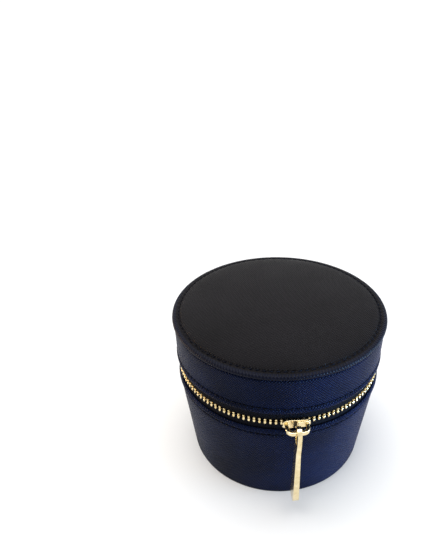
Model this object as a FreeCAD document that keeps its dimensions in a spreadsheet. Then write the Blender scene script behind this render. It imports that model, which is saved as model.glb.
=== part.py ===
import FreeCAD, Part
import math
import os
import Sketcher

# Round zip-around jewellery case of leather over board, drawn closed, in millimetres.
# The foot stands on z = 0, the case's axis is Z, its front is -Y and its leather hinge is at +Y.

DRIVING_SIZES = [
    # Leather shell
    ("wall_radius", 52.5),          # outside of the leather at both edges of the zip
    ("foot_taper", 4.7),            # how much narrower the foot is, as a radius
    ("zip_height", 56.9),           # middle of the zip above the table
    ("zip_opening", 10.0),          # between the base leather's edge and the lid leather's edge
    ("band_height", 20.1),          # lid leather from the zip edge to the lid top
    ("leather", 1.2),
    ("fold_round", 0.5),            # height of the rounded, turned edges of the leather
    ("hem_height", 3.4),            # turned and stitched hem beside the zip
    ("hem_swell", 0.4),             # how far that hem stands proud
    ("glue_gap", 0.1),              # between glued layers
    # Boards
    ("wall_board", 2.0),
    ("foot_board", 2.0),
    ("band_board", 1.4),
    ("top_board", 1.5),
    # Lid top
    ("lip_overhang", 0.7),          # lid top past the lid band
    ("lip_round", 0.8),
    ("crown", 2.5),                 # rise of the padded top inside its stitched line
    ("stitch_inset", 3.4),          # stitched channel from the lip's edge
    ("stitch_channel", 1.0),
    ("channel_depth", 0.3),
    # Zip
    ("tape", 0.7),
    ("tape_margin", 6.0),           # tape sewn behind the leather
    ("tooth_pitch", 2.45),
    ("tooth_width", 1.15),
    ("tooth_length", 2.75),
    ("tooth_depth", 2.4),
    ("tooth_grip", 1.45),           # how far a tooth straddles the tape
    ("tooth_bevel", 0.6),
    ("row_gap", 0.6),               # between the tips of the two rows
    ("stop_width", 2.6),
    ("stop_space", 0.5),
    ("hinge_angle", 54.0),          # share of the round that the leather hinge takes, in degrees
    ("hinge_leather", 1.2),
    ("seam_gap", 0.4),              # between the tape's end and the hinge
    # Tray
    ("collar_height", 19.1),        # velvet collar above the zip
    ("collar_gap", 2.0),            # between the collar's rim and the lid's lining
    ("tray_card", 1.6),
    ("velvet", 0.8),
    ("rim_round", 1.5),
    ("floor_pad", 3.0),
    ("pad_round", 1.0),
    ("divider_card", 1.6),
    ("divider_drop", 3.5),          # top of the divider below the rim
    ("divider_turn", 21.0),         # divider's turn from front to back, in degrees
    ("divider_round", 1.2),
    # Lid lining
    ("lining", 0.7),
    ("ceiling_pad", 2.4),
    ("ceiling_crown", 1.0),
    # Slider and pull
    ("slider_angle", 25.0),         # slider's place round the case from the front, in degrees
    ("slider_length", 13.2),
    ("slider_flare", 0.4),          # parted end over the closed end
    ("slider_plate", 1.1),
    ("slider_round", 0.4),
    ("slide_clearance", 0.25),
    ("flange_height", 0.4),
    ("flange_reach", 0.7),
    ("post_length", 3.6),
    ("post_height", 0.3),
    ("post_inset", 0.5),
    ("bridge_length", 11.0),
    ("bridge_reach", 6.2),
    ("bridge_bar", 1.7),
    ("bridge_height", 2.0),
    ("bridge_corner", 3.2),
    ("bridge_round", 0.45),
    ("pull_length", 49.0),
    ("pull_thickness", 2.0),
    ("pull_foot_thickness", 3.0),   # the bar grows thicker towards its lower end
    ("pull_neck", 4.6),
    ("pull_width", 6.5),
    ("pull_corner", 2.2),
    ("pull_round", 0.45),
    ("eye_width", 3.2),
    ("eye_length", 5.0),
    ("eye_wall", 1.6),
]

doc = FreeCAD.newDocument("JewelleryCase")
sheet = doc.addObject("Spreadsheet::Sheet", "Sizes")
for row, (alias, number) in enumerate(DRIVING_SIZES, start=1):
    sheet.set("A%d" % row, alias)
    sheet.set("B%d" % row, str(number))
    sheet.setAlias("B%d" % row, alias)
doc.recompute()


class Size:
    """A number together with the spreadsheet expression that gives it."""

    def __init__(self, value, text):
        self.value = value
        self.text = text

    def joined(self, sign, other, value):
        return Size(value, "(%s %s %s)" % (self.text, sign, as_size(other).text))

    def __add__(self, other):
        return self.joined("+", other, self.value + as_size(other).value)

    def __sub__(self, other):
        return self.joined("-", other, self.value - as_size(other).value)

    def __mul__(self, other):
        return self.joined("*", other, self.value * as_size(other).value)

    def __truediv__(self, other):
        return self.joined("/", other, self.value / as_size(other).value)

    def __neg__(self):
        return Size(-self.value, "(0 - %s)" % self.text)


ZERO = Size(0.0, "0")


def as_size(number):
    """Turns a plain number into a Size and leaves a Size as it is."""
    if isinstance(number, Size):
        return number
    return Size(float(number), "(%s)" % float(number))


def cell(alias):
    """The driving size kept under alias."""
    return Size(float(sheet.get(alias)), "Sizes.%s" % alias)


def origin_feature(body, role):
    """The plane or axis of a body's own origin that has this role."""
    for feature in body.Origin.OriginFeatures:
        if feature.Role == role:
            return feature
    raise ValueError("no origin feature %s" % role)


def new_body(label, turn=0.0):
    """A body turned by so many degrees about the case's axis."""
    body = doc.addObject("PartDesign::Body", label)
    body.Label = label
    about_axis = FreeCAD.Rotation(FreeCAD.Vector(0, 0, 1), turn)
    body.Placement = FreeCAD.Placement(FreeCAD.Vector(), about_axis)
    return body


def new_sketch(body, role, offset=None):
    """A sketch on one of the body's planes, moved along its normal by offset."""
    sketch = body.newObject("Sketcher::SketchObject", body.Name + "_sketch")
    sketch.AttachmentSupport = [(origin_feature(body, role), "")]
    sketch.MapMode = "FlatFace"
    if offset is not None:
        sketch.setExpression("AttachmentOffset.Base.z", offset.text)
    return sketch


def swell_radius(chord, height):
    """Radius of the arc that stands height above a chord."""
    return (chord * chord / 4 + height * height) / (height * 2)


def arc_between(start, end, radius):
    """The smaller arc from start to end of an outline drawn counter-clockwise.
    A positive radius swells outward and a negative one inward."""
    chord = end - start
    middle = (start + end) * 0.5
    outward = FreeCAD.Vector(chord.y, -chord.x, 0).normalize()
    rise = math.sqrt(max(radius * radius - chord.Length ** 2 / 4, 0.0))
    centre = middle - outward * math.copysign(rise, radius)
    first, last = (start, end) if radius > 0 else (end, start)
    first_angle = math.atan2(first.y - centre.y, first.x - centre.x)
    last_angle = math.atan2(last.y - centre.y, last.x - centre.x)
    if last_angle < first_angle:
        last_angle += 2 * math.pi
    circle = Part.Circle(centre, FreeCAD.Vector(0, 0, 1), abs(radius))
    return Part.ArcOfCircle(circle, first_angle, last_angle)


def pin_coordinate(sketch, side, point, kind, size):
    """Ties one coordinate of a side's point to its size."""
    if size.text == ZERO.text:
        axis = -2 if kind == "DistanceX" else -1
        sketch.addConstraint(Sketcher.Constraint("PointOnObject", side, point, axis))
        return
    index = sketch.addConstraint(Sketcher.Constraint(kind, -1, 1, side, point, size.value))
    sketch.setExpression("Constraints[%d]" % index, size.text)


def draw_outline(sketch, corners, arcs=None):
    """Draws a closed outline through corners. arcs gives the radius of each side that is an arc."""
    arcs = arcs or {}
    corners = [(as_size(across), as_size(up)) for across, up in corners]
    points = [FreeCAD.Vector(across.value, up.value, 0) for across, up in corners]
    ends = []
    base = sketch.GeometryCount
    for side, start in enumerate(points):
        end = points[(side + 1) % len(points)]
        if side in arcs:
            sketch.addGeometry(arc_between(start, end, arcs[side].value), False)
            ends.append((1, 2) if arcs[side].value > 0 else (2, 1))
        else:
            sketch.addGeometry(Part.LineSegment(start, end), False)
            ends.append((1, 2))
    for side in range(len(points)):
        following = (side + 1) % len(points)
        sketch.addConstraint(Sketcher.Constraint(
            "Coincident", base + side, ends[side][1], base + following, ends[following][0]))
    for side, (across, up) in enumerate(corners):
        pin_coordinate(sketch, base + side, ends[side][0], "DistanceX", across)
        pin_coordinate(sketch, base + side, ends[side][0], "DistanceY", up)
    for side, radius in arcs.items():
        outward = radius if radius.value > 0 else -radius
        index = sketch.addConstraint(Sketcher.Constraint("Radius", base + side, outward.value))
        sketch.setExpression("Constraints[%d]" % index, outward.text)


def revolved(label, corners, arcs=None, sweep=None, middle=0.0):
    """A body turned about Z from an outline of radius and height.
    With a sweep it spans that many degrees to both sides of the direction middle."""
    body = new_body(label, middle)
    sketch = new_sketch(body, "XZ_Plane")
    draw_outline(sketch, corners, arcs)
    turned = body.newObject("PartDesign::Revolution", label + "_turned")
    turned.Profile = sketch
    turned.ReferenceAxis = (sketch, ["V_Axis"])
    if sweep is None:
        turned.Angle = 360
    else:
        turned.Midplane = True
        turned.setExpression("Angle", sweep.text)
    return body


def add_pad(body, sketch, length, symmetric=False):
    """Pads a sketch along its normal, or to both sides of its plane."""
    pad = body.newObject("PartDesign::Pad", body.Name + "_pad")
    pad.Profile = sketch
    pad.setExpression("Length", length.text)
    if symmetric:
        pad.SideType = "Symmetric"
    return pad


def add_slot(body, sketch, width):
    """Cuts a sketch out of a body to both sides of its plane."""
    pocket = body.newObject("PartDesign::Pocket", body.Name + "_slot")
    pocket.Profile = sketch
    pocket.SideType = "Symmetric"
    pocket.setExpression("Length", width.text)
    return pocket


def round_edges(body, radius, chosen):
    """Rounds the edges of the body's last feature for which chosen(edge) is true."""
    doc.recompute()
    last = body.Tip
    names = ["Edge%d" % number for number, edge in enumerate(last.Shape.Edges, start=1) if chosen(edge)]
    rounding = body.newObject("PartDesign::Fillet", body.Name + "_rounding")
    rounding.Base = (last, names)
    rounding.setExpression("Radius", radius.text)


def lies_on(edge, axis, place):
    """True if the whole edge lies where its coordinate along axis equals place."""
    low = getattr(edge.BoundBox, axis + "Min")
    high = getattr(edge.BoundBox, axis + "Max")
    return abs(low - place) < 0.01 and abs(high - place) < 0.01


# Heights and radii that several pieces share
leather = cell("leather")
glue = cell("glue_gap")
zip_height = cell("zip_height")
wall_radius = cell("wall_radius")
tape = cell("tape")
velvet = cell("velvet")

foot_radius = wall_radius - cell("foot_taper")
base_edge = zip_height - cell("zip_opening") / 2
lid_edge = zip_height + cell("zip_opening") / 2
band_top = lid_edge + cell("band_height")
wall_foot = leather + glue
fold = cell("fold_round")
tape_outside = wall_radius - leather - glue
tape_middle = tape_outside - tape / 2
tape_low = base_edge - cell("tape_margin")
tape_high = lid_edge + cell("tape_margin")
row_tip = cell("row_gap") / 2
row_root = row_tip + cell("tooth_length")
tape_end = row_root - cell("tooth_grip") + glue

FRONT = -90.0
BACK = FRONT + 180.0


def wall_outside(height):
    """Outer radius of the tapered base leather at a height."""
    return foot_radius + cell("foot_taper") * height / base_edge


def wall_inside(height):
    """Inner radius of the base leather, where board and tape are glued, less the glue."""
    return wall_outside(height) - leather - glue


def tray_outside(height):
    """Outer radius of the tray at a height: it stands in the wall board and leans out to its rim."""
    foot = wall_inside(tray_foot) - cell("wall_board") - glue
    return foot + (collar_radius - foot) * (height - tray_foot) / (tray_rim - tray_foot)


lining_outside = tape_outside - cell("band_board") - glue
collar_radius = lining_outside - cell("lining") - cell("collar_gap")
tray_foot = wall_foot + cell("foot_board") + glue
tray_rim = zip_height + cell("collar_height")
tray_wall = cell("tray_card") + velvet * 2 + glue * 2
pad_top = tray_foot + cell("floor_pad")


# Base shell

def make_base_bottom_leather():
    edge = foot_radius - fold
    return revolved(
        "base_bottom_leather",
        [(ZERO, ZERO), (edge, ZERO), (edge, leather), (ZERO, leather)],
        {1: swell_radius(leather, fold)})


def make_base_foot_board():
    outside = wall_inside(wall_foot) - cell("wall_board") - glue
    top = wall_foot + cell("foot_board")
    return revolved("base_foot_board", [
        (ZERO, wall_foot), (outside, wall_foot), (outside, top), (ZERO, top)])


def make_base_wall_board():
    board = cell("wall_board")
    top = tape_low - glue
    return revolved("base_wall_board", [
        (wall_inside(wall_foot) - board, wall_foot),
        (wall_inside(wall_foot), wall_foot),
        (wall_inside(top), top),
        (wall_inside(top) - board, top),
    ])


def make_base_leather():
    hem = base_edge - cell("hem_height")
    edge = base_edge - fold
    corners = [
        (wall_outside(wall_foot) - leather, wall_foot),
        (wall_outside(wall_foot), wall_foot),
        (wall_outside(hem), hem),
        (wall_outside(edge), edge),
        (wall_outside(edge) - leather, edge),
    ]
    arcs = {
        2: swell_radius(cell("hem_height") - fold, cell("hem_swell")),
        3: swell_radius(leather, fold),
    }
    return revolved("base_leather", corners, arcs)


# Lid shell

def make_lid_leather():
    edge = lid_edge + fold
    hem = lid_edge + cell("hem_height")
    corners = [
        (wall_radius - leather, edge),
        (wall_radius, edge),
        (wall_radius, hem),
        (wall_radius, band_top),
        (wall_radius - leather, band_top),
    ]
    arcs = {
        0: swell_radius(leather, fold),
        1: swell_radius(cell("hem_height") - fold, cell("hem_swell")),
    }
    return revolved("lid_leather", corners, arcs)


def make_lid_band_board():
    low = tape_high + glue
    inside = tape_outside - cell("band_board")
    return revolved("lid_band_board", [
        (inside, low), (tape_outside, low), (tape_outside, band_top), (inside, band_top)])


lip_outside = wall_radius + cell("lip_overhang")
lip_low = band_top + glue
top_board_high = lip_low + cell("top_board")
lip_high = top_board_high + glue + leather
crown_radius = lip_outside - cell("stitch_inset") - cell("stitch_channel") / 2


def make_lid_top_board():
    outside = lip_outside - leather - glue
    return revolved("lid_top_board", [
        (ZERO, lip_low), (outside, lip_low), (outside, top_board_high), (ZERO, top_board_high)])


def make_lid_foam():
    low = top_board_high + glue
    edge = crown_radius - leather
    rise = cell("crown") - glue * 2
    dome = (edge * edge + rise * rise) / (rise * 2)
    return revolved("lid_foam", [(ZERO, low), (edge, low), (ZERO, low + rise)], {1: dome})


def make_lid_top_leather():
    crown = cell("crown")
    dome = (crown_radius * crown_radius + crown * crown) / (crown * 2)
    lip = lip_outside - cell("lip_round")
    inside = lip_outside - leather
    channel = cell("stitch_channel")
    corners = [
        (inside, lip_low),
        (lip, lip_low),
        (lip, lip_high),
        (crown_radius + channel, lip_high),
        (crown_radius, lip_high),
        (ZERO, lip_high + crown),
        (ZERO, lip_high + crown - leather),
        (crown_radius, lip_high - leather),
        (inside, lip_high - leather),
    ]
    arcs = {
        1: swell_radius(lip_high - lip_low, cell("lip_round")),
        3: -swell_radius(channel, cell("channel_depth")),
        4: dome,
        6: -dome,
    }
    return revolved("lid_top_leather", corners, arcs)


# Lid lining

ceiling_low = band_top - cell("ceiling_pad")
ceiling_edge = ceiling_low + cell("ceiling_crown")


def make_lid_ceiling_pad():
    crown = cell("ceiling_crown")
    swell = (lining_outside * lining_outside + crown * crown) / (crown * 2)
    corners = [
        (ZERO, ceiling_low), (lining_outside, ceiling_edge), (lining_outside, band_top), (ZERO, band_top)]
    return revolved("lid_ceiling_pad", corners, {0: swell})


def make_lid_wall_lining():
    low = zip_height + slider_half_height + cell("slide_clearance") * 2
    high = ceiling_edge - glue
    inside = lining_outside - cell("lining")
    return revolved("lid_wall_lining", [
        (inside, low), (lining_outside, low), (lining_outside, high), (inside, high)])


# Zip

zip_angle = ZERO + 360 - cell("hinge_angle")
tape_half_angle = zip_angle / 2 - cell("seam_gap") / tape_middle * math.degrees(1)
tooth_step = cell("tooth_pitch") / tape_middle * math.degrees(1)
stop_run = cell("tooth_width") / 2 + cell("stop_space") * 2 + cell("stop_width")
row_run = (tape_half_angle - stop_run / tape_middle * math.degrees(1)) * 2
base_tooth_count = int(row_run.value / tooth_step.value) + 1
lid_tooth_count = base_tooth_count - 1


def make_base_tape():
    high = zip_height - tape_end
    corners = [
        (wall_inside(tape_low) - tape, tape_low),
        (wall_inside(tape_low), tape_low),
        (tape_outside, base_edge),
        (tape_outside, high),
        (tape_outside - tape, high),
        (tape_outside - tape, base_edge),
    ]
    return revolved("base_zip_tape", corners, sweep=tape_half_angle * 2, middle=FRONT)


def make_lid_tape():
    low = zip_height + tape_end
    inside = tape_outside - tape
    corners = [(inside, low), (tape_outside, low), (tape_outside, tape_high), (inside, tape_high)]
    return revolved("lid_zip_tape", corners, sweep=tape_half_angle * 2, middle=FRONT)


def tooth_outline(side):
    """A tooth seen along the zip, straddling its tape. side is -1 for the base and 1 for the lid."""
    half = cell("tooth_depth") / 2
    slot = tape / 2 + glue
    bevel = cell("tooth_bevel")
    root = zip_height + row_root * side
    tip = zip_height + row_tip * side
    shoulder = tip + bevel * side
    seat = root - cell("tooth_grip") * side
    return [
        (tape_middle - half, root),
        (tape_middle - slot, root),
        (tape_middle - slot, seat),
        (tape_middle + slot, seat),
        (tape_middle + slot, root),
        (tape_middle + half, root),
        (tape_middle + half, shoulder),
        (tape_middle + half - bevel, tip),
        (tape_middle - half + bevel, tip),
        (tape_middle - half, shoulder),
    ]


def make_row(label, side, width, count, step):
    """Like clips set along a tape at equal angles, centred on the front."""
    spread = step * (count - 1)
    body = new_body(label, FRONT - spread.value / 2)
    body.AllowCompound = True
    sketch = new_sketch(body, "XZ_Plane")
    draw_outline(sketch, tooth_outline(side))
    clip = add_pad(body, sketch, width, symmetric=True)
    row = body.newObject("PartDesign::PolarPattern", label + "_row")
    row.Originals = [clip]
    row.Axis = (origin_feature(body, "Z_Axis"), [""])
    row.Occurrences = count
    row.setExpression("Angle", spread.text)
    body.Tip = row
    return body


def make_teeth(label, side, count):
    return make_row(label, side, cell("tooth_width"), count, tooth_step)


def make_stops(label, side, count):
    """The two end stops of a row of so many teeth."""
    beside = (cell("tooth_width") + cell("stop_width")) / 2 + cell("stop_space")
    spread = tooth_step * (count - 1) + beside / tape_middle * math.degrees(2)
    return make_row(label, side, cell("stop_width"), 2, spread)


def make_hinge_strip():
    """Leather that bridges the zip opening at the back, glued behind both leather edges."""
    thick = cell("hinge_leather")
    corners = [
        (wall_inside(tape_low) - thick, tape_low),
        (wall_inside(tape_low), tape_low),
        (tape_outside, base_edge),
        (tape_outside, tape_high),
        (tape_outside - thick, tape_high),
        (tape_outside - thick, base_edge),
    ]
    return revolved("hinge_strip", corners, sweep=cell("hinge_angle"), middle=BACK)


# Tray

def make_tray_velvet():
    shoulder = tray_rim - cell("rim_round")
    seat = tray_rim - velvet
    inside = velvet - tray_wall
    corners = [
        (tray_outside(tray_foot) - velvet, tray_foot),
        (tray_outside(tray_foot), tray_foot),
        (tray_outside(shoulder), shoulder),
        (tray_outside(shoulder) - tray_wall, shoulder),
        (tray_outside(tray_foot) - tray_wall, tray_foot),
        (tray_outside(tray_foot) + inside, tray_foot),
        (tray_outside(seat) + inside, seat),
        (tray_outside(seat) - velvet, seat),
    ]
    return revolved("tray_velvet", corners, {2: swell_radius(tray_wall, cell("rim_round"))})


def make_tray_card():
    top = tray_rim - velvet - glue
    outside = velvet + glue
    inside = outside + cell("tray_card")
    return revolved("tray_card", [
        (tray_outside(tray_foot) - inside, tray_foot),
        (tray_outside(tray_foot) - outside, tray_foot),
        (tray_outside(top) - outside, top),
        (tray_outside(top) - inside, top),
    ])


def make_tray_floor_pad():
    edge = tray_outside(tray_foot) - tray_wall - glue
    soft = cell("pad_round")
    corners = [
        (ZERO, tray_foot),
        (edge, tray_foot),
        (edge, pad_top - soft),
        (edge - soft, pad_top),
        (ZERO, pad_top),
    ]
    return revolved("tray_floor_pad", corners, {2: soft})


divider_thick = cell("divider_card") + velvet * 2 + glue * 2
divider_low = pad_top + glue
divider_high = tray_rim - cell("divider_drop")


def divider_outline(high, inset):
    """The divider's slightly tapered face, from the floor pad to high, between the tray's walls."""
    low_half = tray_outside(divider_low) - tray_wall - inset
    high_half = tray_outside(high) - tray_wall - inset
    return [(-low_half, divider_low), (low_half, divider_low), (high_half, high), (-high_half, high)]


def divider_body(label):
    return new_body(label, BACK - cell("divider_turn").value)


def make_divider_velvet():
    body = divider_body("divider_velvet")
    sketch = new_sketch(body, "XZ_Plane")
    draw_outline(sketch, divider_outline(divider_high, glue * 2))
    add_pad(body, sketch, divider_thick, symmetric=True)
    slot_half = tray_outside(divider_high)
    slot_low = divider_low - velvet
    slot_high = divider_high - velvet
    slot = new_sketch(body, "XZ_Plane")
    draw_outline(slot, [
        (-slot_half, slot_low), (slot_half, slot_low), (slot_half, slot_high), (-slot_half, slot_high)])
    add_slot(body, slot, cell("divider_card") + glue * 2)
    half = divider_thick.value / 2
    round_edges(body, cell("divider_round"), lambda edge: (
        lies_on(edge, "Z", divider_high.value) and abs(abs(edge.CenterOfMass.y) - half) < 0.01
        and edge.BoundBox.XLength > half * 4))
    return body


def make_divider_card():
    body = divider_body("divider_card")
    sketch = new_sketch(body, "XZ_Plane")
    draw_outline(sketch, divider_outline(divider_high - velvet - glue, glue * 3))
    add_pad(body, sketch, cell("divider_card"), symmetric=True)
    return body


# Slider and pull, drawn at the front and turned to their place

chain_outside = tape_middle + cell("tooth_depth") / 2
chain_inside = tape_middle - cell("tooth_depth") / 2
slider_length = cell("slider_length")
chain_bow = slider_length * slider_length / (chain_inside * 8)
front_plate_back = chain_outside + cell("slide_clearance")
front_plate_face = front_plate_back + cell("slider_plate")
back_plate_face = chain_inside - chain_bow - cell("slide_clearance")
back_plate_back = back_plate_face - cell("slider_plate")
neck_half = row_root + cell("slide_clearance") + cell("flange_height")
slider_half_height = neck_half + cell("slider_flare") / 2
pivot_reach = front_plate_face + cell("bridge_reach") - cell("bridge_bar") / 2


def slider_plate_outline():
    """A plate seen from the front: two rounded shoulders at the parted end and a narrower closed end."""
    half = slider_length / 2
    shoulder = slider_length / 4
    corners = [
        (-half, zip_height - slider_half_height / 2),
        (-shoulder, zip_height - slider_half_height),
        (half - shoulder / 2, zip_height - neck_half),
        (half - shoulder / 2, zip_height + neck_half),
        (-shoulder, zip_height + slider_half_height),
        (-half, zip_height + slider_half_height / 2),
    ]
    arcs = {
        0: shoulder,
        2: swell_radius(neck_half * 2, shoulder / 2),
        4: shoulder,
        5: -slider_length,
    }
    return corners, arcs


def add_slider_block(body, corners, near, far, arcs=None):
    """Pads an outline seen from the front, from near to far as measured from the case's axis."""
    sketch = new_sketch(body, "XZ_Plane", near)
    draw_outline(sketch, corners, arcs)
    add_pad(body, sketch, far - near)


def rectangle(left, right, low, high):
    return [(left, low), (right, low), (right, high), (left, high)]


def make_slider_body():
    body = new_body("slider_body", cell("slider_angle").value)
    corners, arcs = slider_plate_outline()
    add_slider_block(body, corners, front_plate_back, front_plate_face, arcs)
    face = -front_plate_face.value
    round_edges(body, cell("slider_round"), lambda edge: lies_on(edge, "Y", face))
    post_left = cell("post_inset") - slider_length / 2
    post_half = cell("post_height") / 2
    post_right = post_left + cell("post_length")
    post = rectangle(post_left, post_right, zip_height - post_half, zip_height + post_half)
    add_slider_block(body, post, back_plate_face, front_plate_back)
    add_slider_block(body, corners, back_plate_back, back_plate_face, arcs)
    flange_low = zip_height - neck_half
    flange = rectangle(
        -slider_length / 4, slider_length / 4, flange_low, flange_low + cell("flange_height"))
    add_slider_block(body, flange, front_plate_back - cell("flange_reach"), front_plate_back)
    add_slider_block(body, flange, back_plate_face, back_plate_face + cell("flange_reach"))
    return body


def make_slider_bridge():
    body = new_body("slider_bridge", cell("slider_angle").value)
    bar = cell("bridge_bar")
    corner = cell("bridge_corner")
    half = cell("bridge_length") / 2
    foot = -front_plate_face
    far = foot - cell("bridge_reach")
    near = far + bar
    sketch = new_sketch(body, "XY_Plane", zip_height)
    corners = [
        (-half, foot),
        (-half, far + corner),
        (corner - half, far),
        (half - corner, far),
        (half, far + corner),
        (half, foot),
        (half - bar, foot),
        (half - bar, far + corner),
        (half - corner, near),
        (corner - half, near),
        (bar - half, far + corner),
        (bar - half, foot),
    ]
    inner = corner - bar
    draw_outline(sketch, corners, {1: corner, 3: corner, 7: -inner, 9: -inner})
    add_pad(body, sketch, cell("bridge_height"), symmetric=True)
    feet = foot.value
    tops = [zip_height.value + cell("bridge_height").value / 2 * side for side in (-1, 1)]
    round_edges(body, cell("bridge_round"), lambda edge: (
        any(lies_on(edge, "Z", top) for top in tops) and not lies_on(edge, "Y", feet)))
    return body


def make_pull_bar():
    body = new_body("pull_bar", cell("slider_angle").value)
    pivot = -pivot_reach
    eye = cell("eye_width") / 2
    head = eye + cell("eye_wall")
    eye_low = zip_height - cell("eye_length")
    neck = cell("pull_neck") / 2
    neck_height = eye_low - head * 2
    half = cell("pull_width") / 2
    corner = cell("pull_corner")
    low = zip_height + head - cell("pull_length")
    sketch = new_sketch(body, "YZ_Plane")
    corners = [
        (pivot + head, zip_height),
        (pivot, zip_height + head),
        (pivot - head, zip_height),
        (pivot - head, eye_low),
        (pivot - neck, neck_height),
        (pivot - half, low + corner),
        (pivot - half + corner, low),
        (pivot + half - corner, low),
        (pivot + half, low + corner),
        (pivot + neck, neck_height),
        (pivot + head, eye_low),
    ]
    draw_outline(sketch, corners, {0: head, 1: head, 5: corner, 7: corner})
    add_pad(body, sketch, cell("pull_foot_thickness"), symmetric=True)
    thin = cell("pull_thickness") / 2
    thick = cell("pull_foot_thickness") / 2
    above = zip_height + head * 2
    for side in (-1, 1):
        wedge = new_sketch(body, "XZ_Plane", -pivot)
        draw_outline(wedge, [
            (thin * side, above),
            (thin * side, eye_low),
            (thick * side, low),
            (thick * 2 * side, low),
            (thick * 2 * side, above),
        ])
        add_slot(body, wedge, cell("pull_width") * 2)
    hole = new_sketch(body, "YZ_Plane")
    hole_corners = [
        (pivot + eye, zip_height),
        (pivot, zip_height + eye),
        (pivot - eye, zip_height),
        (pivot - eye, eye_low),
        (pivot, eye_low - eye),
        (pivot + eye, eye_low),
    ]
    draw_outline(hole, hole_corners, {0: eye, 1: eye, 3: eye, 4: eye})
    add_slot(body, hole, cell("pull_foot_thickness") * 2)
    round_edges(body, cell("pull_round"), lambda edge: (
        abs(edge.CenterOfMass.x) > thin.value * 0.9 and edge.Length > cell("pull_round").value))
    return body


bodies = [
    make_base_bottom_leather(),
    make_base_foot_board(),
    make_base_wall_board(),
    make_base_leather(),
    make_base_tape(),
    make_teeth("base_zip_teeth", -1, base_tooth_count),
    make_stops("base_zip_stops", -1, base_tooth_count),
    make_hinge_strip(),
    make_tray_velvet(),
    make_tray_card(),
    make_tray_floor_pad(),
    make_divider_velvet(),
    make_divider_card(),
    make_lid_leather(),
    make_lid_band_board(),
    make_lid_top_board(),
    make_lid_foam(),
    make_lid_top_leather(),
    make_lid_ceiling_pad(),
    make_lid_wall_lining(),
    make_lid_tape(),
    make_teeth("lid_zip_teeth", 1, lid_tooth_count),
    make_stops("lid_zip_stops", 1, lid_tooth_count),
    make_slider_body(),
    make_slider_bridge(),
    make_pull_bar(),
]
doc.recompute()

for item in doc.Objects:
    if "Invalid" in item.State or "Error" in item.State:
        raise RuntimeError("%s did not compute" % item.Label)

os.makedirs("parts", exist_ok=True)
for body in bodies:
    if body.Shape.isNull() or not body.Shape.isValid() or not body.Shape.Solids:
        raise RuntimeError("%s has no valid solid" % body.Label)
    body.Shape.exportStep("parts/%s.step" % body.Label)
    print("%s: %d solid(s), %.1f mm3" % (body.Label, len(body.Shape.Solids), body.Shape.Volume))
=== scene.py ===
import math

import bmesh
import bpy
from mathutils import Matrix, Vector


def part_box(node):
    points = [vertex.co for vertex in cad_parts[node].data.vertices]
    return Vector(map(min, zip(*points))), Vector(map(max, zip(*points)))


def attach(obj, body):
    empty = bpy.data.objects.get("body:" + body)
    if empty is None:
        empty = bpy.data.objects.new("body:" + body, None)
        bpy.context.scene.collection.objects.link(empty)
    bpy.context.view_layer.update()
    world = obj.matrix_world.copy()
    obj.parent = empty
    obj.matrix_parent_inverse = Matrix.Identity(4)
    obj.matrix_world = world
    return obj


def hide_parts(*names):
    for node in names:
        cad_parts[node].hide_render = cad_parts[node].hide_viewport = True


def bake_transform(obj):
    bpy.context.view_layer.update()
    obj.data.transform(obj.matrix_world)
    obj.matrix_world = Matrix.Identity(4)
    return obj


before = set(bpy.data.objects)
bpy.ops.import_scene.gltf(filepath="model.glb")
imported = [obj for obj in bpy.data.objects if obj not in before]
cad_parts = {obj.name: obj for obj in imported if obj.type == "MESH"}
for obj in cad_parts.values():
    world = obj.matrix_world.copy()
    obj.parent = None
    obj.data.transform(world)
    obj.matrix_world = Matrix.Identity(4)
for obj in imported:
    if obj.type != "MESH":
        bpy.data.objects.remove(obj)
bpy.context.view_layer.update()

# A round zip-around jewellery case of cross-grained navy leather, lined with velvet.
# Sizes are in millimetres here and become metres when a mesh is made.

MM = 0.001
TURN_STEPS = 360

WALL_RADIUS = 52.5
FOOT_RADIUS = 47.8
LEATHER = 1.2
BASE_EDGE = 51.9
LID_EDGE = 61.9
BAND_TOP = 82.0
ZIP_HEIGHT = 56.9
TAPE_OUTSIDE = 51.2
TAPE_MIDDLE = 50.85
LIP_OUTSIDE = 53.2
LIP_LOW = 82.1
LIP_HIGH = 84.9
CROWN_RADIUS = 49.3
CROWN_TOP = 87.4
TRAY_FOOT = 3.4
TRAY_RIM = 76.0
TRAY_WALL = 3.4
PAD_TOP = 6.4
COLLAR_RADIUS = 47.0
STITCH_PITCH = 3.0
SLIDER_ANGLE = 25.0
HINGE_ANGLE = 54.0
ZIP_ANGLE = 360.0 - HINGE_ANGLE
FRONT = -90.0
BACK = 90.0


# Meshes

def deselect_all():
    if bpy.context.object and bpy.context.object.mode != "OBJECT":
        bpy.ops.object.mode_set(mode="OBJECT")
    bpy.ops.object.select_all(action="DESELECT")


def make_active(piece):
    deselect_all()
    piece.select_set(True)
    bpy.context.view_layer.objects.active = piece


def new_piece(name, points, edges, faces):
    """A mesh object of points given in millimetres."""
    mesh = bpy.data.meshes.new(name)
    mesh.from_pydata([Vector(point) * MM for point in points], edges, faces)
    piece = bpy.data.objects.new(name, mesh)
    bpy.context.scene.collection.objects.link(piece)
    return piece


def merge_and_face_out(piece):
    make_active(piece)
    bpy.ops.object.mode_set(mode="EDIT")
    bpy.ops.mesh.select_all(action="SELECT")
    bpy.ops.mesh.remove_doubles(threshold=0.002 * MM)
    bpy.ops.mesh.select_all(action="SELECT")
    bpy.ops.mesh.normals_make_consistent(inside=False)
    bpy.ops.object.mode_set(mode="OBJECT")


def smooth(piece, angle=35.0):
    make_active(piece)
    bpy.ops.object.shade_smooth_by_angle(angle=math.radians(angle))


def apply_modifier(piece, kind, **settings):
    make_active(piece)
    modifier = piece.modifiers.new(kind.title(), kind)
    for key, value in settings.items():
        setattr(modifier, key, value)
    bpy.ops.object.modifier_apply(modifier=modifier.name)


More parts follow.
